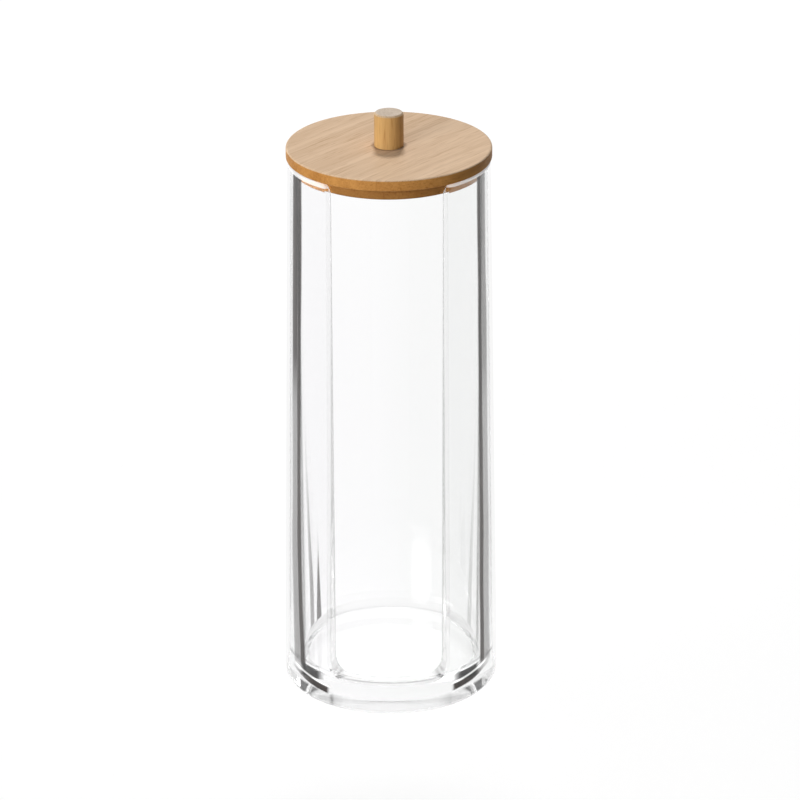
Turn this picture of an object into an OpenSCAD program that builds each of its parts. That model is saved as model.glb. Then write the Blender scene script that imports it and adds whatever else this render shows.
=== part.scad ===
// Tall round box in clear acrylic for round cotton pads, with a bamboo lid and a bamboo knob.
// Sizes are in millimetres. The origin is the centre of the base's underside, +Z points up,
// and the dispensing slot faces -Y.

/* [Box] */
// Height of the acrylic box, from its underside to its rim
body_h = 180; // [90:1:260]
// Outer diameter at the base, where the box is widest
base_d = 70; // [68:0.5:90]
// Outer diameter at the rim
rim_d = 64; // [62:0.5:84]
// Thickness of the solid base under the chamber
floor_t = 8.8; // [4:0.2:20]
// Radius of the rounded edge under the base
foot_r = 2; // [1:0.25:4]
// Chamfer that eases the inner and the outer edge of the rim
rim_chamfer = 0.7; // [0.3:0.1:0.9]

/* [Chamber] */
// Bore of the chamber at the rim
bore_rim_d = 59.4; // [56:0.1:60]
// Bore of the chamber at its floor
bore_floor_d = 58.6; // [54:0.1:60]
// Radius of the fillet between the chamber's wall and its floor
floor_fillet_r = 2.8; // [1:0.1:6]

/* [Front slot] */
// Width of the slot across the middle of the wall
slot_w = 35.5; // [16:0.5:42]
// Angle that each side face of the slot opens outwards
slot_flare = 20; // [0:1:30]
// Rise of the slot's sill above the top of the chamber's fillet, which keeps the pads in
slot_sill_rise = 0.2; // [0.1:0.1:10]
// Radius of the slot's two bottom corners
slot_bottom_r = 5; // [1:0.5:7]
// Radius that the wall's two free corners are rounded to at the rim
slot_top_r = 4; // [1:0.5:8]

/* [Lid] */
// Diameter of the lid's disc
lid_d = 65; // [63:0.5:86]
// Thickness of the lid's disc
lid_t = 3.7; // [2.5:0.1:8]
// Radius of the eased edges of the disc
lid_edge_r = 0.6; // [0.2:0.1:1.1]
// Depth of the turned plug that drops into the chamber
plug_h = 3.8; // [2:0.1:10]
// Radial clearance between the plug and the chamber's bore
plug_clearance = 0.3; // [0.15:0.05:0.8]
// Chamfer on the plug's lower edge
plug_chamfer = 0.4; // [0.2:0.1:1]

/* [Knob] */
// Diameter of the dowel that makes the knob
knob_d = 9.3; // [8:0.1:20]
// Height of the knob above the lid
knob_h = 11; // [9:0.5:30]
// Chamfer round the knob's top
knob_chamfer = 0.5; // [0.2:0.1:1.5]

/* [Knob screw] */
// Length of the screw under its head's face
screw_l = 14; // [11:0.5:16]
// Outer diameter of the screw's thread
screw_d = 3; // [2:0.1:3.5]
// Diameter of the countersunk head
screw_head_d = 5.8; // [5.4:0.1:7]
// How far the head's face is sunk into the plug
screw_sink = 0.3; // [0.1:0.1:0.6]
// Radial clearance of the screw where it passes through the lid
screw_clearance = 0.2; // [0.1:0.05:0.5]
// Radial bite of the thread into the knob's pilot hole
screw_bite = 0.25; // [0.1:0.05:0.35]
// Length of the screw's pointed tip
screw_tip_l = 2; // [1:0.25:3]
// Depth of the pilot hole past the screw's tip
pilot_spare = 0.8; // [0.3:0.1:1.2]
// Width of the cross recess in the head, across its arms
recess_w = 3.2; // [2:0.1:4]
// Thickness of each arm of the cross recess
recess_arm_t = 0.8; // [0.5:0.1:1]
// Depth of the cross recess
recess_h = 0.9; // [0.5:0.1:1.2]

/* [Hidden] */
$fn = 96;
// How far a cutting shape reaches past the face that it cuts
over = 1;
clear_acrylic = [0.86, 0.92, 0.94, 0.35];
bamboo = [0.80, 0.62, 0.40];
bamboo_dark = [0.74, 0.54, 0.32];
steel = [0.72, 0.72, 0.70];

// The outer wall leans in and the chamber's wall leans out, going up
base_r = base_d / 2;
wall_lean = atan((base_d - rim_d) / 2 / body_h);
bore_lean = atan((bore_rim_d - bore_floor_d) / 2 / (body_h - floor_t));

// Radius of the outer wall, and of the chamber's wall, at height z
function wall_r(z) = base_r - z * tan(wall_lean);
function bore_r(z) = bore_floor_d / 2 + (z - floor_t) * tan(bore_lean);

// Centres of the foot's round and of the chamber's fillet in the box's section, each tangent
// to the two faces that it joins
foot_c = [wall_r(foot_r) - foot_r / cos(wall_lean), foot_r];
fillet_z = floor_t + floor_fillet_r;
fillet_c = [bore_r(fillet_z) - floor_fillet_r / cos(bore_lean), fillet_z];

// Directions square to the outer wall and to the chamber's wall, in the same section
wall_out = [cos(wall_lean), sin(wall_lean)];
bore_in = [-cos(bore_lean), sin(bore_lean)];

// Where the middle of the wall crosses a side face of the slot, seen from above
mid_r = (wall_r(body_h / 2) + bore_r(body_h / 2)) / 2;
slot_y = sqrt(mid_r * mid_r - slot_w * slot_w / 4);
sill_z = fillet_z + slot_sill_rise;
// How far each half of the slot runs through the wall, and across, just past its middle
slot_reach = base_r - bore_floor_d / 2 + slot_w / 4;
slot_across = slot_w / 2 * cos(slot_flare) + (base_r - slot_y) * sin(slot_flare) + over;

plug_d = bore_rim_d - 2 * plug_clearance;
lid_z = body_h;
lid_top = lid_z + lid_t;
head_z = lid_z - plug_h + screw_sink;
head_h = (screw_head_d - screw_d) / 2;
screw_top = head_z + screw_l;
pilot_r = screw_d / 2 - screw_bite;

// Section of the box's outside, a full disc down to the axis
module outer_section() {
    polygon([
        [0, 0],
        [foot_c[0], 0],
        foot_c + foot_r * wall_out,
        [wall_r(body_h - rim_chamfer), body_h - rim_chamfer],
        [wall_r(body_h) - rim_chamfer, body_h],
        [0, body_h]
    ]);
    translate(foot_c) circle(r = foot_r);
}

// Section of the chamber, with the fillet at its floor and the chamfered mouth
module chamber_section() {
    mouth_r = bore_r(body_h) + rim_chamfer;
    polygon([
        [0, floor_t],
        [fillet_c[0], floor_t],
        fillet_c - floor_fillet_r * bore_in,
        [bore_r(body_h - rim_chamfer), body_h - rim_chamfer],
        [mouth_r, body_h],
        [mouth_r, body_h + over],
        [0, body_h + over]
    ]);
    translate(fillet_c) circle(r = floor_fillet_r);
}

// Half of the slot's outline as a face square to the wall: x = 0 is the side of the slot,
// with a rounded corner at the sill and the wall's free corner rounded off at the rim
module half_slot_outline() {
    difference() {
        translate([-slot_across, sill_z]) square([slot_across, body_h - sill_z + over]);
        difference() {
            translate([-slot_bottom_r, sill_z - over])
                square([slot_bottom_r + over, slot_bottom_r + over]);
            translate([-slot_bottom_r, sill_z + slot_bottom_r]) circle(r = slot_bottom_r);
        }
    }
    difference() {
        translate([-over, body_h - slot_top_r]) square([slot_top_r + over, slot_top_r + over]);
        translate([slot_top_r, body_h - slot_top_r]) circle(r = slot_top_r);
    }
}

// The right-hand half of the slot, cut through the wall along its flared side face
module half_slot() {
    translate([slot_w / 2, -slot_y, 0]) rotate([0, 0, slot_flare])
        translate([0, slot_reach, 0]) rotate([90, 0, 0])
            linear_extrude(2 * slot_reach) half_slot_outline();
}

// The box: one clear moulding of thick base, round wall and front slot
module body() {
    color(clear_acrylic) difference() {
        rotate_extrude() difference() {
            outer_section();
            chamber_section();
        }
        half_slot();
        mirror([1, 0, 0]) half_slot();
    }
}

// Section of the lid, turned from one bamboo board: a disc with a smaller plug under it
module lid_section() {
    edge_x = lid_d / 2 - lid_edge_r;
    polygon([
        [0, lid_z - plug_h],
        [plug_d / 2 - plug_chamfer, lid_z - plug_h],
        [plug_d / 2, lid_z - plug_h + plug_chamfer],
        [plug_d / 2, lid_z],
        [edge_x, lid_z],
        [lid_d / 2, lid_z + lid_edge_r],
        [lid_d / 2, lid_top - lid_edge_r],
        [edge_x, lid_top],
        [0, lid_top]
    ]);
    translate([edge_x, lid_z + lid_edge_r]) circle(r = lid_edge_r);
    translate([edge_x, lid_top - lid_edge_r]) circle(r = lid_edge_r);
}

// The lid, with the countersunk hole for the knob's screw
module lid() {
    hole_r = screw_d / 2 + screw_clearance;
    color(bamboo) difference() {
        rotate_extrude() lid_section();
        translate([0, 0, lid_z - plug_h - over]) cylinder(r = hole_r, h = plug_h + lid_t + 2 * over);
        translate([0, 0, lid_z - plug_h - over])
            cylinder(r = screw_head_d / 2, h = screw_sink + over);
        translate([0, 0, head_z])
            cylinder(r1 = screw_head_d / 2, r2 = screw_d / 2, h = head_h);
    }
}

// The knob: a short bamboo dowel standing on the lid, drilled from below
module knob() {
    color(bamboo_dark) difference() {
        translate([0, 0, lid_top]) rotate_extrude() polygon([
            [0, 0],
            [knob_d / 2, 0],
            [knob_d / 2, knob_h - knob_chamfer],
            [knob_d / 2 - knob_chamfer, knob_h],
            [0, knob_h]
        ]);
        translate([0, 0, lid_top - over])
            cylinder(r = pilot_r, h = screw_top + pilot_spare - lid_top + over);
    }
}

// The wood screw that draws the knob down on the lid, with its head in the plug
module knob_screw() {
    color(steel) difference() {
        rotate_extrude() polygon([
            [0, head_z],
            [screw_head_d / 2, head_z],
            [screw_d / 2, head_z + head_h],
            [screw_d / 2, screw_top - screw_tip_l],
            [0, screw_top]
        ]);
        for (turn = [0, 90]) rotate([0, 0, turn])
            translate([-recess_w / 2, -recess_arm_t / 2, head_z - over])
                cube([recess_w, recess_arm_t, recess_h + over]);
    }
}

body();
lid();
knob();
knob_screw();
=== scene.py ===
"""Looks of the clear acrylic box with its bamboo lid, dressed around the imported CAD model.

Lengths are written in millimetres and become metres where a mesh is made. The origin is the
centre of the box's underside, +Z is up and the dispensing slot faces -Y.
"""
import math
from functools import reduce

import bmesh
import bpy
import numpy as np
from mathutils import Matrix, Vector


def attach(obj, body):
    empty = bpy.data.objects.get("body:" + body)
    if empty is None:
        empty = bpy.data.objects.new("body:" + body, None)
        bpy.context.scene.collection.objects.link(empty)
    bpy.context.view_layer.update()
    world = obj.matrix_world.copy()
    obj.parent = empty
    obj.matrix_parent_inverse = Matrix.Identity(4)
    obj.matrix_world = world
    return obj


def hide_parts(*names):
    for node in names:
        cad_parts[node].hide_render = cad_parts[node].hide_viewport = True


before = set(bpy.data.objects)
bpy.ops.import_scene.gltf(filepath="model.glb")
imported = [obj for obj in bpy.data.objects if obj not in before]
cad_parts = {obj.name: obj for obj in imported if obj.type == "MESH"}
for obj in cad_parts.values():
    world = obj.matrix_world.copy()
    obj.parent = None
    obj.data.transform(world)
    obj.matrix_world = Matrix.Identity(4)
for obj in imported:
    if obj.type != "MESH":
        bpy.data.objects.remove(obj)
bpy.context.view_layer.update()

scene = bpy.context.scene
scene.view_settings.view_transform = "Standard"


# THE BOX
# One clear acrylic moulding: a thick solid base, a round wall that leans in going up, a straight
# chamber with a filleted floor, and a front slot cut down through the rim to a low sill. The
# slot's faces and the rim are polished, and every free edge is rounded over.

MM = 0.001
body_h = 180.0
base_r = 35.0
rim_r = 32.0
foot_r = 2.0
floor_z = 8.8
bore_floor_r = 29.3
bore_rim_r = 29.7
fillet_r = 2.8
fillet_centre = (26.5, 11.6)
slot_half = 17.75
slot_mid_r = 31.495
slot_flare = math.radians(20)
sill_z = 11.8
slot_bottom_r = 5.0
slot_top_r = 4.0
edge_r = 1.0
round_steps = 6
wall_columns = 264
sill_columns = 36
corner_rows, side_rows, rim_corner_rows, profile_rows = 13, 26, 11, 14
floor_rings = (26.2, 18.0, 9.0)
base_rows = (9.0, 6.5, 4.2)
underside_rings = (32.7, 24.0, 12.0)

wall_lean = math.atan((base_r - rim_r) / body_h)
bore_lean = math.atan((bore_rim_r - bore_floor_r) / (body_h - floor_z))
side_point = np.array([slot_half, -math.sqrt(slot_mid_r ** 2 - slot_half ** 2)])
side_normal = np.array([math.cos(slot_flare), math.sin(slot_flare)])
side_along = np.array([math.sin(slot_flare), -math.cos(slot_flare)])


def outer_section(z, inset):
    """Radius at height z of the outer wall's line moved inset into the wall, and its normal."""
    radius = base_r - z * math.tan(wall_lean) - inset / math.cos(wall_lean)
    return radius, np.array([math.cos(wall_lean), math.sin(wall_lean)])


def inner_section(z, inset):
    """The same for the chamber's line, which runs into the fillet at the floor."""
    reach = fillet_r + inset
    if z < fillet_centre[1]:
        across = math.sqrt(reach ** 2 - (fillet_centre[1] - z) ** 2)
        return fillet_centre[0] + across, np.array([-across, fillet_centre[1] - z]) / reach
    radius = bore_floor_r + (z - floor_z) * math.tan(bore_lean) + inset / math.cos(bore_lean)
    return radius, np.array([-math.cos(bore_lean), math.sin(bore_lean)])


def slot_angle(offset, radius):
    """Angle from -Y, seen from above, of a point at that radius, offset in from the slot's side."""
    start = side_point + offset * side_normal
    along = start @ side_along
    point = start + side_along * (math.sqrt(along ** 2 - start @ start + radius ** 2) - along)
    return math.atan2(point[0], -point[1])


def turned(radius, height, angle):
    """A point, or a direction, of the section placed at an angle from -Y."""
    return np.array([radius * math.sin(angle), -radius * math.cos(angle), height])


def slerp(a, b, share):
    """Direction part of the way from one unit vector to another."""
    gap = math.acos(max(-1.0, min(1.0, float(a @ b))))
    return (math.sin((1 - share) * gap) * a + math.sin(share * gap) * b) / math.sin(gap)


# Line that the free edge's round is rolled along: how far in from the slot's side, how high, and
# which way the free face looks
edge_line = []
for turn in np.linspace(0, math.pi / 2, corner_rows):
    reach = slot_bottom_r + edge_r
    edge_line.append((-slot_bottom_r + reach * math.sin(turn),
                      sill_z + slot_bottom_r - reach * math.cos(turn),
                      (-math.sin(turn), math.cos(turn))))
for height in np.linspace(sill_z + slot_bottom_r, body_h - slot_top_r, side_rows)[1:-1]:
    edge_line.append((edge_r, height, (-1.0, 0.0)))
for turn in np.linspace(0, math.pi / 2, rim_corner_rows):
    reach = slot_top_r - edge_r
    edge_line.append((slot_top_r - reach * math.cos(turn),
                      body_h - slot_top_r + reach * math.sin(turn),
                      (-math.cos(turn), math.sin(turn))))

points, normals, edge_mask, round_mask, inner_mask = [], [], [], [], []


def add_point(place, normal, inner=0.0, edge=0.0, outer_round=0.0):
    """The number of a new point of the box, kept with its normal and its masks."""
    points.append(place)
    normals.append(normal)
    inner_mask.append(inner)
    edge_mask.append(edge)
    round_mask.append(outer_round)
    return len(points) - 1


def sheet_point(section, z, angle, inner):
    """A point on the outer wall or on the chamber's wall, beside the edge's round at height z."""
    radius, normal = section(z, edge_r)
    radius, z = radius + edge_r * normal[0], z + edge_r * normal[1]
    return add_point(turned(radius, z, angle), turned(normal[0], normal[1], angle), inner)


faces = []
edge_ends = []
for section, inner in ((outer_section, 0.0), (inner_section, 1.0)):
    # Open rows, from the slot's right side round the back to its left side
    rows = []
    for offset, z, _ in edge_line:
        start = slot_angle(offset, section(z, edge_r)[0])
        rows.append([sheet_point(section, z, angle, inner)
                     for angle in np.linspace(start, 2 * math.pi - start, wall_columns + 1)])
    for low, high in zip(rows, rows[1:]):
        faces += [(low[i], low[i + 1], high[i + 1], high[i]) for i in range(wall_columns)]
    # Closed rings below the sill, down to the middle of the floor or of the underside
    z = edge_line[0][1]
    start = slot_angle(edge_line[0][0], section(z, edge_r)[0])
    sill = np.linspace(2 * math.pi - start, 2 * math.pi + start, sill_columns + 1)[1:-1]
    sill_row = [sheet_point(section, z, angle, inner) for angle in sill]
    ring_angles = list(np.linspace(start, 2 * math.pi - start, wall_columns + 1)) + list(sill)
    above = rows[0] + sill_row
    if inner:
        first = math.asin((fillet_centre[1] - points[rows[0][0]][2]) / fillet_r)
        profile = [(fillet_centre[0] + fillet_r * math.cos(turn),
                    fillet_centre[1] - fillet_r * math.sin(turn),
                    (-math.cos(turn), math.sin(turn)))
                   for turn in np.linspace(first, math.pi / 2, profile_rows)[1:]]
        profile += [(radius, floor_z, (0.0, 1.0)) for radius in floor_rings]
        middle = (floor_z, (0.0, 0.0, 1.0))
    else:
        lean = (math.cos(wall_lean), math.sin(wall_lean))
        foot_x = outer_section(foot_r, foot_r)[0]
        profile = [(outer_section(z, 0.0)[0], z, lean) for z in base_rows]
        profile += [(foot_x + foot_r * math.cos(turn), foot_r + foot_r * math.sin(turn),
                     (math.cos(turn), math.sin(turn)))
                    for turn in np.linspace(wall_lean, -math.pi / 2, profile_rows)]
        profile += [(radius, 0.0, (0.0, -1.0)) for radius in underside_rings]
        middle = (0.0, (0.0, 0.0, -1.0))
    count = len(ring_angles)
    for radius, z, normal in profile:
        below = [add_point(turned(radius, z, angle), turned(normal[0], normal[1], angle), inner)
                 for angle in ring_angles]
        faces += [(above[i], above[(i + 1) % count], below[(i + 1) % count], below[i])
                  for i in range(count)]
        above = below
    centre = add_point((0.0, 0.0, middle[0]), middle[1], inner)
    faces += [(above[i], above[(i + 1) % count], centre) for i in range(count)]
    # The sheet's own edge, once round: right side, rim, left side and sill
    edge_ends.append([row[0] for row in rows] + rows[-1][1:-1]
                     + [row[-1] for row in reversed(rows)] + sill_row)

# The free edge: a quarter round off each wall, with the flat polished face between them
side_facing = np.array([side_normal[0], side_normal[1], 0.0])
edge_facings = [m[0] * side_facing + np.array([0, 0, m[1]]) for _, _, m in edge_line]
mirrored = [facing * (-1, 1, 1) for facing in reversed(edge_facings)]
up = np.array([0.0, 0.0, 1.0])
facings = (edge_facings + [up] * (wall_columns - 1) + mirrored + [up] * (sill_columns - 1))
strips = []
for outer_end, inner_end, facing in zip(*edge_ends, facings):
    strip = [outer_end]
    for end, way in ((outer_end, 1), (inner_end, -1)):
        normal = normals[end]
        roll_centre = points[end] - edge_r * normal
        shares = np.linspace(0, 1, round_steps + 1)
        shares = shares[1:] if way == 1 else shares[::-1][:-1]
        for share in shares:
            out = slerp(normal, facing, share)
            strip.append(add_point(roll_centre + edge_r * out, out, 0.0, 1.0,
                                   1.0 - share if way == 1 else 0.0))
    strips.append(strip + [inner_end])
for strip, after in zip(strips, strips[1:] + strips[:1]):
    faces += [(strip[i], strip[i + 1], after[i + 1], after[i]) for i in range(len(strip) - 1)]

box_mesh = bpy.data.meshes.new("acrylic_box")
box_mesh.from_pydata([np.array(p) * MM for p in points], [], faces)
shell = bmesh.new()
shell.from_mesh(box_mesh)
bmesh.ops.recalc_face_normals(shell, faces=shell.faces)
shell.to_mesh(box_mesh)
shell.free()
for name, values in (("cut_edge", edge_mask), ("outer_round", round_mask),
                     ("chamber", inner_mask)):
    mask = box_mesh.attributes.new(name, "FLOAT", "POINT")
    mask.data.foreach_set("value", np.array(values, np.float32))
box_mesh.shade_smooth()
box_mesh.normals_split_custom_set_from_vertices([tuple(n) for n in normals])
acrylic_box = bpy.data.objects.new("acrylic_box", box_mesh)
scene.collection.objects.link(acrylic_box)


def add_node(tree, kind, inputs=None, **settings):
    """A node with its settings, and its inputs linked where they are sockets."""
    made = tree.nodes.new(kind)
    for name, value in settings.items():
        setattr(made, name, value)
    for name, value in (inputs or {}).items():
        if isinstance(value, bpy.types.NodeSocket):
            tree.links.new(value, made.inputs[name])
        else:
            made.inputs[name].default_value = value
    return made


def math_node(tree, operation, *values, clamp=False):
    """The result of a Math node."""
    return add_node(tree, "ShaderNodeMath", dict(enumerate(values)), operation=operation,
                    use_clamp=clamp).outputs[0]


def ramp(tree, value, low, high, to_low=0.0, to_high=1.0):
    """The value smoothly carried from one range to another."""
    return add_node(tree, "ShaderNodeMapRange",
                    {"Value": value, "From Min": low, "From Max": high,
                     "To Min": to_low, "To Max": to_high},
                    interpolation_type="SMOOTHSTEP").outputs["Result"]


def new_material(name):
    """A material with its Principled shader, and its Object coordinates in millimetres."""
    made = bpy.data.materials.new(name)
    made.use_nodes = True
    tree = made.node_tree
    shader = tree.nodes["Principled BSDF"]
    place = add_node(tree, "ShaderNodeTexCoord").outputs["Object"]
    place = add_node(tree, "ShaderNodeVectorMath", {0: place, "Scale": 1 / MM},
                     operation="SCALE").outputs[0]
    return made, tree, shader, place


def new_group(name, inputs, outputs):
    """An empty shader node group with its sockets, and its input and output nodes."""
    tree = bpy.data.node_groups.new(name, "ShaderNodeTree")
    kinds = {"c": "NodeSocketColor", "f": "NodeSocketFloat", "v": "NodeSocketVector"}
    for names, way in ((inputs, "INPUT"), (outputs, "OUTPUT")):
        for socket, kind in names.items():
            tree.interface.new_socket(socket, in_out=way, socket_type=kinds[kind])
    return tree, tree.nodes.new("NodeGroupInput").outputs, tree.nodes.new("NodeGroupOutput").inputs


def use_group(tree, group, inputs):
    """That group placed in a material with its own values."""
    return add_node(tree, "ShaderNodeGroup", inputs, node_tree=group).outputs


def vector_math(tree, operation, first, second):
    """The result of a Vector Math node."""
    return add_node(tree, "ShaderNodeVectorMath", {0: first, 1: second},
                    operation=operation).outputs[0]


def noise(tree, place, scale, detail):
    """Noise at that place."""
    return add_node(tree, "ShaderNodeTexNoise",
                    {"Vector": place, "Scale": scale, "Detail": detail}).outputs["Fac"]


def mix_colour(tree, share, first, second):
    """The first colour, carried by that share to the second."""
    return add_node(tree, "ShaderNodeMix", {"Factor": share, "A": first, "B": second},
                    data_type="RGBA").outputs["Result"]


def upward_share(tree):
    """The normal's height: 1 where the surface faces up, 0 where it stands upright."""
    normal = add_node(tree, "ShaderNodeNewGeometry").outputs["Normal"]
    return add_node(tree, "ShaderNodeSeparateXYZ", {0: normal}).outputs["Z"]


def finish_surface(tree, shader, colour, roughness, height, depth, strength):
    """The shader's colour, roughness and fine relief."""
    bump = add_node(tree, "ShaderNodeBump", {"Height": height, "Distance": depth * MM,
                                             "Strength": strength})
    for value, socket in ((colour, "Base Color"), (roughness, "Roughness"),
                          (bump.outputs["Normal"], "Normal")):
        tree.links.new(value, shader.inputs[socket])


# Handling wear: fine scratches and a slow unevenness left by the polish, both in the surface
handling, given, gives = new_group(
    "handling_wear", {"Place": "v", "Scratches": "f", "Waviness": "f", "Roughness": "f"},
    {"Roughness": "f", "Height": "f"})
scratch_stretch, scratch_scale, scratch_range = (0.9, 0.9, 0.05), 2.2, (0.60, 0.72)
wave_scale = 0.045
scratch = noise(handling, vector_math(handling, "MULTIPLY", given["Place"], scratch_stretch),
                scratch_scale, 3.0)
scratch = math_node(handling, "MULTIPLY", ramp(handling, scratch, *scratch_range),
                    given["Scratches"])
wave = noise(handling, given["Place"], wave_scale, 1.0)
handling.links.new(math_node(handling, "ADD", given["Roughness"], scratch), gives["Roughness"])
handling.links.new(math_node(handling, "MULTIPLY", wave, given["Waviness"]), gives["Height"])

clear_acrylic, tree, shader, place = new_material("clear_acrylic")


# These shorthands work in the material in hand: its tree, and its place at, in millimetres
def band(value, low, high, soft):
    """A soft-edged band of a value."""
    return product(ramp(tree, value, low - soft, low + soft),
                   ramp(tree, value, high + soft, high - soft))


def streak(middle, half, soft):
    """A band of facing whose middle and half width may both change over the surface."""
    off = math_node(tree, "ABSOLUTE", math_node(tree, "SUBTRACT", facing, middle))
    return ramp(tree, off, math_node(tree, "ADD", half, soft),
                math_node(tree, "SUBTRACT", half, soft))


def by_height(*heights_and_shares):
    """A share that changes between two heights."""
    return ramp(tree, at["Z"], *heights_and_shares)


def grown(value, gain, start):
    """A value times a gain, added to its start."""
    return math_node(tree, "MULTIPLY_ADD", value, gain, start)


def rest(share):
    """What a share leaves over."""
    return math_node(tree, "SUBTRACT", 1.0, share)


def product(*masks):
    """Several masks multiplied together."""
    return reduce(lambda first, second: math_node(tree, "MULTIPLY", first, second), masks)


def strongest(*masks):
    """The strongest of several masks at each point."""
    return reduce(lambda first, second: math_node(tree, "MAXIMUM", first, second), masks)


# Facing is 0 where the surface is seen square on and 1 at the silhouette, and wavers a little as
# a moulded wall does. The masks of the shell's parts follow, for a side that is met from the air
# (front) or from within the acrylic (behind)
waver_stretch, waver_reach = (0.10, 0.10, 0.022), 0.05
at = add_node(tree, "ShaderNodeSeparateXYZ", {0: place}).outputs
waver = noise(tree, vector_math(tree, "MULTIPLY", place, waver_stretch), 1.0, 1.0)
facing = math_node(tree, "ADD", add_node(tree, "ShaderNodeLayerWeight").outputs["Facing"],
                   product(math_node(tree, "SUBTRACT", waver, 0.5), waver_reach))
front = rest(add_node(tree, "ShaderNodeNewGeometry").outputs["Backfacing"])
cut_edge, outer_round, chamber_side = (
    add_node(tree, "ShaderNodeAttribute", attribute_name=name).outputs["Fac"]
    for name in ("cut_edge", "outer_round", "chamber"))
wall_side = rest(strongest(chamber_side, cut_edge))
behind_chamber = math_node(tree, "SUBTRACT", chamber_side, front, clamp=True)
behind_wall = math_node(tree, "SUBTRACT", wall_side, front, clamp=True)
chamber = product(chamber_side, front)
outside = product(wall_side, front)
steep = ramp(tree, upward_share(tree), 0.6, 0.2)
left = ramp(tree, at["X"], 12.0, -12.0)

# The solid ring of wall past the chamber bends light too far to pass it on, and that shade is
# painted into the tint: a painted dark line beside the chamber's own edge, and a painted dark band
# outside it that is darkest at the top left
ring_line_band, ring_line_dark = (0.526, 0.590, 0.014), 0.97
ring_band, ring_dark, ring_dark_left = (0.575, 0.685, 0.02), 0.60, 0.05
ring_dark_high, ring_dark_high_left = 0.16, 0.20
ring_drift = by_height(58.0, 8.0, 0.0, 0.055)
above_base = product(outside, by_height(8.0, 12.5))
drifted = grown(ring_drift, left, facing)
ring_line_painted_shade = product(band(drifted, *ring_line_band), above_base, ring_line_dark)
ring_share = grown(by_height(98.0, 122.0), grown(left, ring_dark_high_left, ring_dark_high),
                   grown(left, ring_dark_left, ring_dark))
ring = product(band(drifted, *ring_band), above_base, ring_share)

# Painted shade in the tint: dark folds low in the far wall, which narrow and fade going up, and
# painted shade on the chamber's far wall where it is seen edge on
fold_top, fold_shift, fold_half_top, fold_half_gain, fold_soft = 0.682, -0.090, 0.017, 0.018, 0.010
fold_line_half, short_fold_at, fold_right = 0.007, 0.483, 0.45
fold_low = by_height(84.0, 8.0)
fold_middle = grown(fold_low, fold_shift, fold_top)
fold_half = grown(fold_low, fold_half_gain, fold_half_top)
long_fold = product(streak(fold_middle, fold_half, fold_soft),
                    by_height(100.0, 20.0, 0.0, 0.72), by_height(89.0, 80.0))
fold_line = product(streak(math_node(tree, "SUBTRACT", fold_middle, fold_half), fold_line_half,
                           fold_line_half), by_height(92.0, 40.0, 0.0, 0.75))
long_fold = product(strongest(long_fold, fold_line), grown(left, 1 - fold_right, fold_right))
short_fold = product(streak(short_fold_at, by_height(44.0, 12.0, 0.004, 0.026), fold_line_half),
                     left, by_height(46.0, 26.0, 0.0, 0.90))
fold_painted_shade = product(strongest(long_fold, short_fold), chamber, steep)
grazed_from, grazed_behind, grazed_dark = (0.75, 0.82), (-14.0, -6.0), 0.9
edge_on_painted_shade = product(ramp(tree, facing, *grazed_from), chamber, ramp(tree, at["Y"], *grazed_behind),
                 grazed_dark)

# Light caught in the solid base, painted in: a painted dark streak to each side of the front,
# rising outwards, with a line above it that is painted half dark and given a painted glow
caught_low, caught_rise, caught_left_shift, caught_soft = 5.15, 7.0, -1.1, 0.25
caught_start, caught_end, caught_fade = (0.27, 0.295), (0.68, 0.62), (0.64, 0.42, 0.4, 1.0)
shine_over, shine_edge, shine_start, shine_end = 1.55, (0.55, 0.2), (0.26, 0.32), (0.64, 0.56)
shine_dark = 0.5
caught_z = math_node(tree, "ADD", grown(facing, caught_rise, caught_low),
                     product(left, caught_left_shift))
over_caught = math_node(tree, "SUBTRACT", at["Z"], caught_z)
caught_half = ramp(tree, facing, 0.42, 0.60, 1.15, 0.5)
past_caught = math_node(tree, "SUBTRACT", math_node(tree, "ABSOLUTE", over_caught), caught_half)
caught = product(ramp(tree, past_caught, caught_soft, -caught_soft), outside,
                 ramp(tree, facing, *caught_start), ramp(tree, facing, *caught_fade),
                 ramp(tree, facing, *caught_end))
off_shine = math_node(tree, "ABSOLUTE", math_node(tree, "SUBTRACT", over_caught, shine_over))
base_line_painted_glow = product(ramp(tree, off_shine, *shine_edge), outside,
                       ramp(tree, facing, *shine_start), ramp(tree, facing, *shine_end))

# Light passes a surface by the root of its Base Color, so the share that passes is squared. The
# right side's clear tint is a little greyer, painted shade, and all the painted shade above is
# mixed in toward a near black
shaded_clear_right, clear_left = (0.966, 0.968, 0.967, 1.0), (0.984, 0.983, 0.986, 1.0)
painted_shade_colour = (0.035, 0.026, 0.022, 1.0)
dark = strongest(ring, ring_line_painted_shade, edge_on_painted_shade, fold_painted_shade, caught, product(base_line_painted_glow, shine_dark))
tint = mix_colour(tree, dark, mix_colour(tree, left, shaded_clear_right, clear_left), painted_shade_colour)
wear = use_group(tree, handling, {"Place": place, "Scratches": 0.02, "Waviness": 0.02,
                                  "Roughness": 0.004})
finish_surface(tree, shader, vector_math(tree, "MULTIPLY", tint, tint), wear["Roughness"],
               wear["Height"], 1.0, 0.3)
shader.inputs["Transmission Weight"].default_value = 1.0
shader.inputs["IOR"].default_value = 1.49

# The rim, and the line above the base's streaks, are given a painted glow: emission that stands in
# for light piped up the wall. The rim and the free edges are also a little milky
rim_start, rim_left_rise, rim_painted_glow, rim_milky, edge_milky = (178.75, 179.0), 0.55, 0.7, 0.55, 0.2
rim = product(ramp(tree, grown(left, rim_left_rise, at["Z"]), *rim_start), rest(chamber_side))
tree.links.new(product(strongest(rim, base_line_painted_glow), rim_painted_glow), shader.inputs["Emission Color"])
shader.inputs["Emission Strength"].default_value = 1.0
milk = add_node(tree, "ShaderNodeBsdfDiffuse", {"Color": (0.93, 0.93, 0.93, 1.0)})
edged = add_node(tree, "ShaderNodeMixShader", {
    0: strongest(product(rim, rim_milky), product(outer_round, edge_milky)),
    1: shader.outputs["BSDF"], 2: milk.outputs["BSDF"]})

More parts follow.
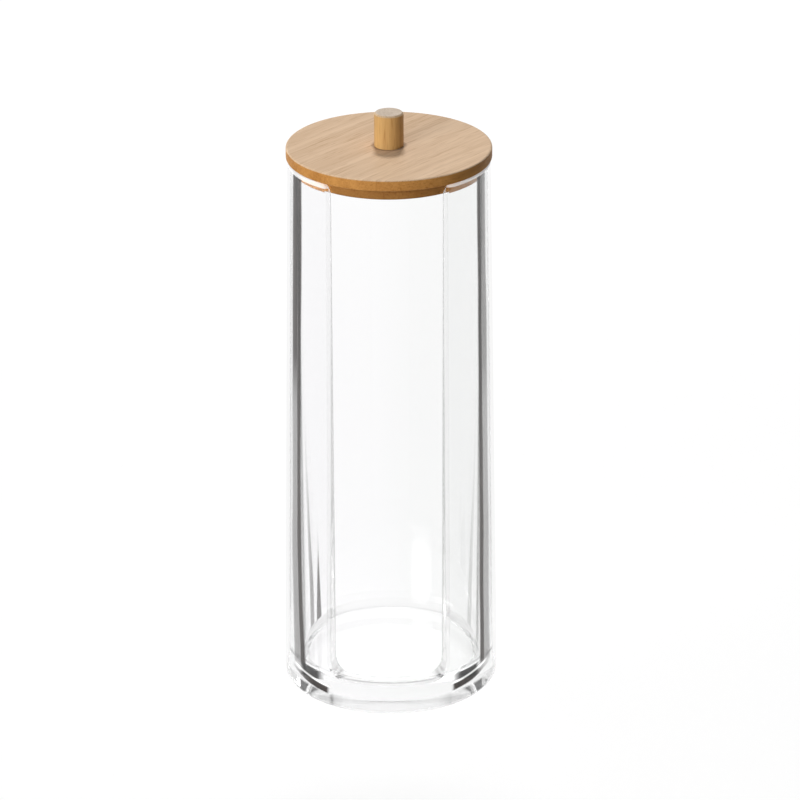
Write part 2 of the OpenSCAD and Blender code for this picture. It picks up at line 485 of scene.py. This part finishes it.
# Where light would be trapped and turn black it goes straight on: in the free edges, the last of
# the silhouette, the far wall beside the slot, the rounded foot, the floor's fillet and the low
# wall behind it. The lamps' light passes the whole box, so that the chamber is lit
edge_straight, edge_straight_gain, foot_straight, fillet_straight = 0.58, 0.30, 0.75, 0.85
low_wall_straight, trapped_from, silhouette_from = 0.8, (0.24, 0.28), (0.73, 0.78)
beside_slot = product(behind_chamber, ramp(tree, at["Y"], -19.0, -21.0),
                      ramp(tree, facing, 0.19, 0.24))
free_edge = product(cut_edge, rest(rim), grown(outer_round, edge_straight_gain, edge_straight))
silhouette = product(ramp(tree, facing, *silhouette_from), wall_side, rest(rim))
foot = product(by_height(6.0, 4.8), outside, rest(caught), foot_straight)
fillet = product(by_height(8.83, 9.0), by_height(12.0, 11.0), chamber, fillet_straight)
low_wall = product(behind_wall, ramp(tree, facing, *trapped_from), by_height(12.0, 11.0),
                   by_height(2.5, 4.0), low_wall_straight)
for_lamps = add_node(tree, "ShaderNodeLightPath").outputs["Is Shadow Ray"]
see_through = add_node(tree, "ShaderNodeBsdfTransparent", {"Color": (0.96, 0.96, 0.96, 1.0)})
mixed = add_node(tree, "ShaderNodeMixShader", {
    0: strongest(for_lamps, beside_slot, foot, fillet, low_wall, free_edge, silhouette),
    1: edged.outputs["Shader"], 2: see_through.outputs["BSDF"]})
tree.links.new(mixed.outputs["Shader"], tree.nodes["Material Output"].inputs["Surface"])
acrylic_box.data.materials.append(clear_acrylic)
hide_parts("body")
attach(acrylic_box, "box")


# THE LID
# A disc of bamboo board, turned in one piece with the smaller plug that drops into the box's
# mouth. Its edges are eased by sanding, it is drilled and countersunk from below for the knob's
# screw, and a thin satin oil is its only finish.

lid_r = 32.5
lid_low = body_h
lid_top = 183.7
lid_edge_r = 0.6
plug_r = 29.4
plug_low = 176.2
plug_chamfer = 0.4
screw_hole_r = 1.7
screw_head_r = 2.9
screw_head_z = 176.5
lathe_steps = 288


def eased_section(corners, closed, steps=6, hold=0.12):
    """The corners of a section as points, each (radius, height, round), with each round as an
    arc, and a point held close beside each round on the straight that it runs into."""
    section = []
    count = len(corners)
    for i, (x, z, ease) in enumerate(corners):
        here = Vector((x, z))
        if not ease or (not closed and i in (0, count - 1)):
            section.append(here)
            continue
        to_last = (Vector(corners[i - 1][:2]) - here).normalized()
        to_next = (Vector(corners[(i + 1) % count][:2]) - here).normalized()
        half = to_last.angle(to_next) / 2
        run = ease / math.tan(half)
        middle = here + (to_last + to_next).normalized() * (ease / math.sin(half))
        start, end = here + to_last * run - middle, here + to_next * run - middle
        section.append(here + to_last * (run + hold))
        for share in np.linspace(0, 1, steps + 1):
            out = slerp(np.array(start.normalized()), np.array(end.normalized()), share)
            section.append(middle + Vector(out) * ease)
        section.append(here + to_next * (run + hold))
    return section


# The lathe: a section drawn in radius (X) and height (Z) is carried once round the Z axis
lathe = bpy.data.node_groups.new("lathe", "GeometryNodeTree")
for socket, kind in (("Section", "NodeSocketGeometry"), ("Steps", "NodeSocketInt"),
                     ("Sharp Angle", "NodeSocketFloat"), ("Finish", "NodeSocketMaterial")):
    lathe.interface.new_socket(socket, in_out="INPUT", socket_type=kind)
lathe.interface.new_socket("Turned", in_out="OUTPUT", socket_type="NodeSocketGeometry")
given = lathe.nodes.new("NodeGroupInput").outputs
gives = lathe.nodes.new("NodeGroupOutput").inputs
circle_r = 0.001
at = add_node(lathe, "ShaderNodeSeparateXYZ",
              {0: lathe.nodes.new("GeometryNodeInputPosition").outputs[0]}).outputs
flat = add_node(lathe, "ShaderNodeCombineXYZ", {
    "X": math_node(lathe, "SUBTRACT", at["X"], circle_r),
    "Y": math_node(lathe, "MULTIPLY", at["Z"], -1.0)})
laid = add_node(lathe, "GeometryNodeSetPosition", {"Geometry": given["Section"],
                                                   "Position": flat.outputs[0]})
profile_line = add_node(lathe, "GeometryNodeMeshToCurve", {"Mesh": laid.outputs[0]})
round_axis = add_node(lathe, "GeometryNodeCurvePrimitiveCircle", {"Resolution": given["Steps"],
                                                                  "Radius": circle_r})
swept = add_node(lathe, "GeometryNodeCurveToMesh", {"Curve": round_axis.outputs[0],
                                                    "Profile Curve": profile_line.outputs[0]})
merged = add_node(lathe, "GeometryNodeMergeByDistance", {"Geometry": swept.outputs[0],
                                                         "Distance": 1e-6})
smooth = add_node(lathe, "GeometryNodeSetShadeSmooth", {"Geometry": merged.outputs[0]})
crease = add_node(lathe, "FunctionNodeCompare", {
    0: lathe.nodes.new("GeometryNodeInputMeshEdgeAngle").outputs["Unsigned Angle"],
    1: given["Sharp Angle"]}, operation="GREATER_THAN")
sharp = add_node(lathe, "GeometryNodeSetShadeSmooth", {"Geometry": smooth.outputs[0],
                                                       "Selection": crease.outputs[0],
                                                       "Shade Smooth": False}, domain="EDGE")
real = add_node(lathe, "GeometryNodeRealizeInstances", {0: sharp.outputs[0]})
finished = add_node(lathe, "GeometryNodeSetMaterial", {"Geometry": real.outputs[0],
                                                       "Material": given["Finish"]})
lathe.links.new(finished.outputs[0], gives["Turned"])


def made_by(tree, name, mesh, values):
    """The piece that a Geometry Nodes tree makes of a mesh with these values, as a plain mesh."""
    start = bpy.data.objects.new(name + "_start", mesh)
    scene.collection.objects.link(start)
    modifier = start.modifiers.new("make", "NODES")
    modifier.node_group = tree
    for item in tree.interface.items_tree:
        if item.in_out == "INPUT" and item.name in values:
            modifier[item.identifier] = values[item.name]
    result = bpy.data.meshes.new_from_object(
        start.evaluated_get(bpy.context.evaluated_depsgraph_get()))
    bpy.data.objects.remove(start)
    result.name = name
    piece = bpy.data.objects.new(name, result)
    scene.collection.objects.link(piece)
    return piece


def turn_piece(name, section, closed, steps, material):
    """A piece turned from its section, which runs clockwise with the axis on its left."""
    lines = [(i, i + 1) for i in range(len(section) - 1)]
    if closed:
        lines.append((len(section) - 1, 0))
    mesh = bpy.data.meshes.new(name + "_section")
    mesh.from_pydata([(p[0] * MM, 0.0, p[1] * MM) for p in section], lines, [])
    return made_by(lathe, name, mesh, {"Steps": steps, "Sharp Angle": math.radians(35),
                                       "Finish": material})


# Bamboo: strips glued side by side, each of its own tone, made of long pale fibres with short
# darker bundles between them. X is along the grain, Y across the strips, in millimetres
bamboo_grain, given, gives = new_group(
    "bamboo_grain",
    {"Place": "v", "Pale": "c", "Warm": "c", "Strip Width": "f", "Strip Shift": "f",
     "Strip Contrast": "f", "Streaks": "f", "Bundles": "f", "Roughness": "f"},
    {"Color": "c", "Roughness": "f", "Height": "f"})
at = add_node(bamboo_grain, "ShaderNodeSeparateXYZ", {0: given["Place"]}).outputs
across = math_node(bamboo_grain, "DIVIDE",
                   math_node(bamboo_grain, "ADD", at["Y"], given["Strip Shift"]),
                   given["Strip Width"])
strip_no = math_node(bamboo_grain, "FLOOR", across)
strip_tone = add_node(bamboo_grain, "ShaderNodeTexWhiteNoise", {"W": strip_no},
                      noise_dimensions="1D").outputs["Value"]
strip_jump = 37.0
strip_place = add_node(bamboo_grain, "ShaderNodeCombineXYZ", {
    "X": math_node(bamboo_grain, "MULTIPLY", strip_no, strip_jump)}).outputs[0]
own_place = vector_math(bamboo_grain, "ADD", given["Place"], strip_place)


def grain_noise(along, over, scale, detail):
    """Noise drawn out along the grain."""
    return noise(bamboo_grain, vector_math(bamboo_grain, "MULTIPLY", own_place,
                                           (along, over, over)), scale, detail)


bundle_range, seam_range, tone_range = (0.58, 0.70), (0.488, 0.5), (0.3, 0.7)
broad_share, fibre_rough, bundle_sink = 0.55, 0.16, 0.6
broad = grain_noise(0.05, 1.0, 0.30, 2.0)
fibres = grain_noise(0.03, 1.0, 1.50, 3.0)
bundles = ramp(bamboo_grain, grain_noise(0.05, 1.0, 2.6, 1.0), *bundle_range)
seam = math_node(bamboo_grain, "ABSOLUTE", math_node(
    bamboo_grain, "SUBTRACT", math_node(bamboo_grain, "FRACT", across), 0.5))
seam = ramp(bamboo_grain, seam, *seam_range)
streaks = math_node(
    bamboo_grain, "ADD",
    math_node(bamboo_grain, "MULTIPLY", ramp(bamboo_grain, broad, *tone_range), broad_share),
    math_node(bamboo_grain, "MULTIPLY", ramp(bamboo_grain, fibres, *tone_range),
              1 - broad_share))
tone = math_node(bamboo_grain, "MULTIPLY", streaks, given["Streaks"])
for value, share in ((strip_tone, "Strip Contrast"), (bundles, "Bundles"),
                     (seam, "Strip Contrast")):
    tone = math_node(bamboo_grain, "MULTIPLY_ADD", value, given[share], tone)
bamboo_grain.links.new(mix_colour(bamboo_grain, tone, given["Pale"], given["Warm"]),
                       gives["Color"])
bamboo_grain.links.new(math_node(bamboo_grain, "MULTIPLY_ADD", fibres, fibre_rough,
                                 given["Roughness"]), gives["Roughness"])
bamboo_grain.links.new(math_node(bamboo_grain, "MULTIPLY_ADD", bundles, -bundle_sink, fibres),
                       gives["Height"])

bamboo_board, tree, shader, place = new_material("bamboo_board")
turned_place = add_node(tree, "ShaderNodeMapping", {"Vector": place,
                                                    "Rotation": (0, 0, math.radians(-52))})
# The top is paler and greyer than the turned side and the plug: partly the sanded face, which took
# up less of the oil, and partly a painted sheen of the light from above. The eased edges are paler
# still: partly wear, partly a painted highlight
top_pale, side_pale = (0.800, 0.585, 0.400, 1.0), (0.700, 0.340, 0.095, 1.0)
top_warm, side_warm = (0.500, 0.315, 0.175, 1.0), (0.360, 0.130, 0.025, 1.0)
worn_highlight_pale, worn_highlight_most = (0.86, 0.66, 0.45, 1.0), 0.7
upward = upward_share(tree)
side_share = ramp(tree, upward, 0.9, 0.2)
worn_and_highlit = product(ramp(tree, upward, 0.25, 0.5), ramp(tree, upward, 0.97, 0.8), worn_highlight_most)
pale = mix_colour(tree, worn_and_highlit, mix_colour(tree, side_share, top_pale, side_pale), worn_highlight_pale)
grain = use_group(tree, bamboo_grain, {
    "Place": turned_place.outputs[0], "Pale": pale,
    "Warm": mix_colour(tree, side_share, top_warm, side_warm), "Strip Width": 18.0,
    "Strip Shift": -0.5, "Strip Contrast": 0.22, "Streaks": 0.5, "Bundles": 0.35,
    "Roughness": 0.38})
# Painted shade: the plug, which stands in the shade of the lid's overhang, is darkened, and so is a
# ring round the knob's foot, a painted shadow where the knob stands on the lid
painted_shade_brown, plug_painted_shade, foot_painted_shadow = (0.100, 0.036, 0.008, 1.0), 0.42, 0.5
at = add_node(tree, "ShaderNodeSeparateXYZ", {0: place}).outputs
from_axis = add_node(tree, "ShaderNodeVectorMath", {
    0: vector_math(tree, "MULTIPLY", place, (1, 1, 0))}, operation="LENGTH").outputs["Value"]
knob_foot_painted_shadow = product(ramp(tree, from_axis, 6.1, 4.9, 0.0, foot_painted_shadow), ramp(tree, upward, 0.5, 0.9))
painted_shade_share = strongest(by_height(180.1, 179.7, 0.0, plug_painted_shade), knob_foot_painted_shadow)
finish_surface(tree, shader, mix_colour(tree, painted_shade_share, grain["Color"], painted_shade_brown),
               grain["Roughness"], grain["Height"], 0.05, 0.6)
shader.inputs["Specular IOR Level"].default_value = 0.06

bamboo_lid = turn_piece("bamboo_lid", eased_section([
    (screw_hole_r, lid_top, 0.1),
    (lid_r, lid_top, lid_edge_r),
    (lid_r, lid_low, lid_edge_r),
    (plug_r, lid_low, 0.1),
    (plug_r, plug_low + plug_chamfer, 0.15),
    (plug_r - plug_chamfer, plug_low, 0.15),
    (screw_head_r, plug_low, 0.05),
    (screw_head_r, screw_head_z, 0.0),
    (screw_hole_r, screw_head_z + screw_head_r - screw_hole_r, 0.0)], True), True, lathe_steps,
    bamboo_board)
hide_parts("lid")
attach(bamboo_lid, "lid")


# THE KNOB
# A short bamboo dowel, turned with a small chamfer round its top and standing on the lid. It is
# drilled from below for the screw that holds it, and has the lid's oil finish.

knob_r = 4.65
knob_top = 194.7
knob_chamfer = 0.5
pilot_r = 1.25
pilot_top = 191.3
knob_steps = 128

bamboo_dowel, tree, shader, place = new_material("bamboo_dowel")
upright = add_node(tree, "ShaderNodeMapping", {"Vector": place,
                                               "Rotation": (0, math.radians(90), 0)})
# The sawn top is greyer and paler than the turned side: partly its end grain, partly a painted
# sheen of the light from above
top_pale, side_pale = (0.720, 0.600, 0.480, 1.0), (0.760, 0.480, 0.190, 1.0)
top_warm, side_warm = (0.420, 0.320, 0.230, 1.0), (0.380, 0.170, 0.045, 1.0)
side_share = ramp(tree, upward_share(tree), 0.9, 0.5)
grain = use_group(tree, bamboo_grain, {
    "Place": upright.outputs[0], "Pale": mix_colour(tree, side_share, top_pale, side_pale),
    "Warm": mix_colour(tree, side_share, top_warm, side_warm), "Strip Width": 7.0,
    "Strip Shift": 3.0, "Strip Contrast": 0.15, "Streaks": 0.5, "Bundles": 0.3,
    "Roughness": 0.34})
finish_surface(tree, shader, grain["Color"], grain["Roughness"], grain["Height"], 0.05, 0.6)
shader.inputs["Specular IOR Level"].default_value = 0.12

bamboo_knob = turn_piece("bamboo_knob", eased_section([
    (0.0, knob_top, 0.0),
    (knob_r - knob_chamfer, knob_top, 0.15),
    (knob_r, knob_top - knob_chamfer, 0.15),
    (knob_r, lid_top, 0.1),
    (pilot_r, lid_top, 0.05),
    (pilot_r, pilot_top, 0.0),
    (0.0, pilot_top, 0.0)], False), False, knob_steps, bamboo_dowel)
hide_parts("knob")
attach(bamboo_knob, "lid")


# THE KNOB'S SCREW
# A small zinc-plated countersunk wood screw with a cross recess, driven up through the lid into
# the knob from the plug's underside, where its head sits just below the surface.

screw_core_r = 1.1
screw_thread_r = 1.5
screw_tip = 190.5
point_length = 2.2
thread_low = 178.6
thread_high = 188.9
thread_turns = 8.0
thread_size = 0.25
recess_w, recess_arm, recess_depth = 3.2, 0.8, 0.9
screw_steps = 64

screw_tree = bpy.data.node_groups.new("wood_screw", "GeometryNodeTree")
for socket, kind in (("Blank", "NodeSocketGeometry"), ("Thread Turns", "NodeSocketFloat"),
                     ("Thread Radius", "NodeSocketFloat"), ("Thread Height", "NodeSocketFloat"),
                     ("Thread Low", "NodeSocketFloat"), ("Thread Size", "NodeSocketFloat"),
                     ("Head Height", "NodeSocketFloat"), ("Recess Width", "NodeSocketFloat"),
                     ("Recess Arm", "NodeSocketFloat"), ("Recess Depth", "NodeSocketFloat"),
                     ("Finish", "NodeSocketMaterial")):
    screw_tree.interface.new_socket(socket, in_out="INPUT", socket_type=kind)
screw_tree.interface.new_socket("Screw", in_out="OUTPUT", socket_type="NodeSocketGeometry")
given = screw_tree.nodes.new("NodeGroupInput").outputs
gives = screw_tree.nodes.new("NodeGroupOutput").inputs
helix = add_node(screw_tree, "GeometryNodeCurveSpiral", {
    "Resolution": 40, "Rotations": given["Thread Turns"], "Start Radius": given["Thread Radius"],
    "End Radius": given["Thread Radius"], "Height": given["Thread Height"]})
ridge = add_node(screw_tree, "GeometryNodeCurvePrimitiveCircle", {
    "Resolution": 3, "Radius": given["Thread Size"]})
thread = add_node(screw_tree, "GeometryNodeCurveToMesh", {
    "Curve": helix.outputs[0], "Profile Curve": ridge.outputs[0], "Fill Caps": True})
raised = add_node(screw_tree, "GeometryNodeTransform", {
    "Geometry": thread.outputs[0],
    "Translation": add_node(screw_tree, "ShaderNodeCombineXYZ",
                            {"Z": given["Thread Low"]}).outputs[0]})
cutters = []
for turn in (0.0, math.pi / 2):
    depth = math_node(screw_tree, "MULTIPLY", given["Recess Depth"], 2.0)
    arm = add_node(screw_tree, "GeometryNodeMeshCube", {
        "Size": add_node(screw_tree, "ShaderNodeCombineXYZ", {
            "X": given["Recess Width"], "Y": given["Recess Arm"], "Z": depth}).outputs[0]})
    cutters.append(add_node(screw_tree, "GeometryNodeTransform", {
        "Geometry": arm.outputs[0], "Rotation": (0.0, 0.0, turn),
        "Translation": add_node(screw_tree, "ShaderNodeCombineXYZ",
                                {"Z": given["Head Height"]}).outputs[0]}))
recessed = add_node(screw_tree, "GeometryNodeMeshBoolean", {"Mesh 1": given["Blank"]},
                    operation="DIFFERENCE", solver="EXACT")
for cutter in cutters:
    screw_tree.links.new(cutter.outputs[0], recessed.inputs["Mesh 2"])
whole = screw_tree.nodes.new("GeometryNodeJoinGeometry")
screw_tree.links.new(recessed.outputs[0], whole.inputs[0])
screw_tree.links.new(raised.outputs[0], whole.inputs[0])
real = add_node(screw_tree, "GeometryNodeRealizeInstances", {0: whole.outputs[0]})
finished = add_node(screw_tree, "GeometryNodeSetMaterial", {"Geometry": real.outputs[0],
                                                            "Material": given["Finish"]})
screw_tree.links.new(finished.outputs[0], gives["Screw"])

zinc_steel, tree, shader, place = new_material("zinc_steel")
wear = use_group(tree, handling, {"Place": place, "Scratches": 0.25, "Waviness": 0.05,
                                  "Roughness": 0.26})
mottle = noise(tree, place, 1.4, 4.0)
plating = mix_colour(tree, mottle, (0.62, 0.64, 0.66, 1.0), (0.78, 0.77, 0.73, 1.0))
finish_surface(tree, shader, plating, wear["Roughness"], mottle, 0.02, 0.5)
shader.inputs["Metallic"].default_value = 1.0

blank = turn_piece("screw_blank", eased_section([
    (0.0, screw_tip, 0.0),
    (screw_core_r, screw_tip - point_length, 0.3),
    (screw_core_r, screw_head_z + screw_head_r - screw_core_r, 0.3),
    (screw_head_r, screw_head_z, 0.06),
    (0.0, screw_head_z, 0.0)], False, hold=0.05), False, screw_steps, zinc_steel)
knob_screw = made_by(screw_tree, "zinc_screw", blank.data, {
    "Thread Turns": thread_turns, "Thread Radius": (screw_thread_r - thread_size) * MM,
    "Thread Height": (thread_high - thread_low) * MM, "Thread Low": thread_low * MM,
    "Thread Size": thread_size * MM, "Head Height": screw_head_z * MM,
    "Recess Width": recess_w * MM, "Recess Arm": recess_arm * MM,
    "Recess Depth": recess_depth * MM, "Finish": zinc_steel})
bpy.data.objects.remove(blank)
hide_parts("knob_screw")
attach(knob_screw, "lid")


# THE STUDIO
# A plain pale floor under a plain white world, a soft lamp from high behind and another low from
# the left front, and a camera where the photograph's was.

floor_half = 6.0
# A hair of air stays under the box, so that its underside mirrors the room as a real one does
floor_top = -0.15 * MM
paper_lit, paper_seen = 0.35, 0.18
glow_reach, glow_near, glow_far = (200.0, 1500.0), 0.84, 0.97
soft_right, soft_left = 0.04, 0.50
card_from, card_to = (math.radians(28), math.radians(35)), (math.radians(52), math.radians(46))
card_low, card_high = (0.30, 0.38), (0.62, 0.54)

floor_mesh = bpy.data.meshes.new("studio_floor")
floor_mesh.from_pydata([(x, y, floor_top) for x, y in (
    (-floor_half, -floor_half), (floor_half, -floor_half), (floor_half, floor_half),
    (-floor_half, floor_half))], [], [(0, 1, 2, 3)])
floor = bpy.data.objects.new("studio_floor", floor_mesh)
scene.collection.objects.link(floor)
paper, tree, shader, place = new_material("studio_paper")
paths = add_node(tree, "ShaderNodeLightPath").outputs
seen = strongest(paths["Is Camera Ray"], paths["Is Glossy Ray"], paths["Is Transmission Ray"])
shader.inputs["Roughness"].default_value = 1.0
shader.inputs["Specular IOR Level"].default_value = 0.0
shader.inputs["Emission Color"].default_value = (1.0, 1.0, 1.0, 1.0)
tree.links.new(ramp(tree, seen, 0.0, 1.0, paper_lit, paper_seen), shader.inputs["Base Color"])
# The lamps light the floor less further off, and its own share makes up for that
reach = add_node(tree, "ShaderNodeVectorMath", {0: place}, operation="LENGTH").outputs["Value"]
own = ramp(tree, reach, *glow_reach, glow_near, glow_far)
tree.links.new(product(seen, own), shader.inputs["Emission Strength"])
floor.data.materials.append(paper)

world = bpy.data.worlds.new("studio")
scene.world = world
world.use_nodes = True
tree = world.node_tree
paths = add_node(tree, "ShaderNodeLightPath").outputs
through = strongest(paths["Is Glossy Ray"], paths["Is Transmission Ray"])
seen = strongest(paths["Is Camera Ray"], through)
way = add_node(tree, "ShaderNodeSeparateXYZ",
               {0: add_node(tree, "ShaderNodeTexCoord").outputs["Generated"]}).outputs
# Soft light is stronger from the left. Two black cards stand off behind the box, to each side,
# and show only through it
soft = ramp(tree, way["X"], 0.8, -0.8, soft_right, soft_left)
off_side = math_node(tree, "ABSOLUTE", math_node(tree, "ARCTAN2", way["X"], way["Y"]))
card = product(ramp(tree, off_side, *card_from), ramp(tree, off_side, *card_to),
               ramp(tree, way["Z"], *card_low), ramp(tree, way["Z"], *card_high), through)
tree.links.new(math_node(tree, "ADD", product(seen, rest(card)), product(rest(seen), soft)),
               tree.nodes["Background"].inputs["Strength"])
tree.nodes["Background"].inputs["Color"].default_value = (1.0, 1.0, 1.0, 1.0)

aim = Vector((0, 0, 0.1))
for name, place, size, power in (("key", (-0.02, 0.95, 1.6), 0.3, 17.0),
                                 ("side", (-0.9, -1.1, 0.5), 0.6, 13.0)):
    lamp = bpy.data.lights.new(name, "AREA")
    lamp.size = size
    lamp.energy = power
    holder = bpy.data.objects.new(name, lamp)
    holder.location = place
    holder.rotation_euler = (Vector(place) - aim).to_track_quat("Z", "Y").to_euler()
    scene.collection.objects.link(holder)

camera_turn, camera_tilt, camera_roll = (math.radians(x) for x in (1.6, 23.21, -0.24))
camera_distance = 1327.3
camera_lens, camera_sensor, camera_shift = 185.1, 36.0, 0.0125
look_at = Vector((0, 0, 96.53))
back = Vector((math.sin(camera_turn) * math.cos(camera_tilt),
               -math.cos(camera_turn) * math.cos(camera_tilt), math.sin(camera_tilt)))
level = Vector((math.cos(camera_turn), math.sin(camera_turn), 0))
over = back.cross(level)
right = math.cos(camera_roll) * level + math.sin(camera_roll) * over
upright = math.cos(camera_roll) * over - math.sin(camera_roll) * level
camera = bpy.data.objects.new("camera", bpy.data.cameras.new("camera"))
camera.matrix_world = (Matrix.Translation((look_at + back * camera_distance) * MM)
                       @ Matrix((right, upright, back)).transposed().to_4x4())
camera.data.lens = camera_lens
camera.data.sensor_width = camera_sensor
camera.data.shift_x = camera_shift
camera.data.clip_start = 0.01
camera.data.clip_end = 50.0
scene.collection.objects.link(camera)
scene.camera = camera
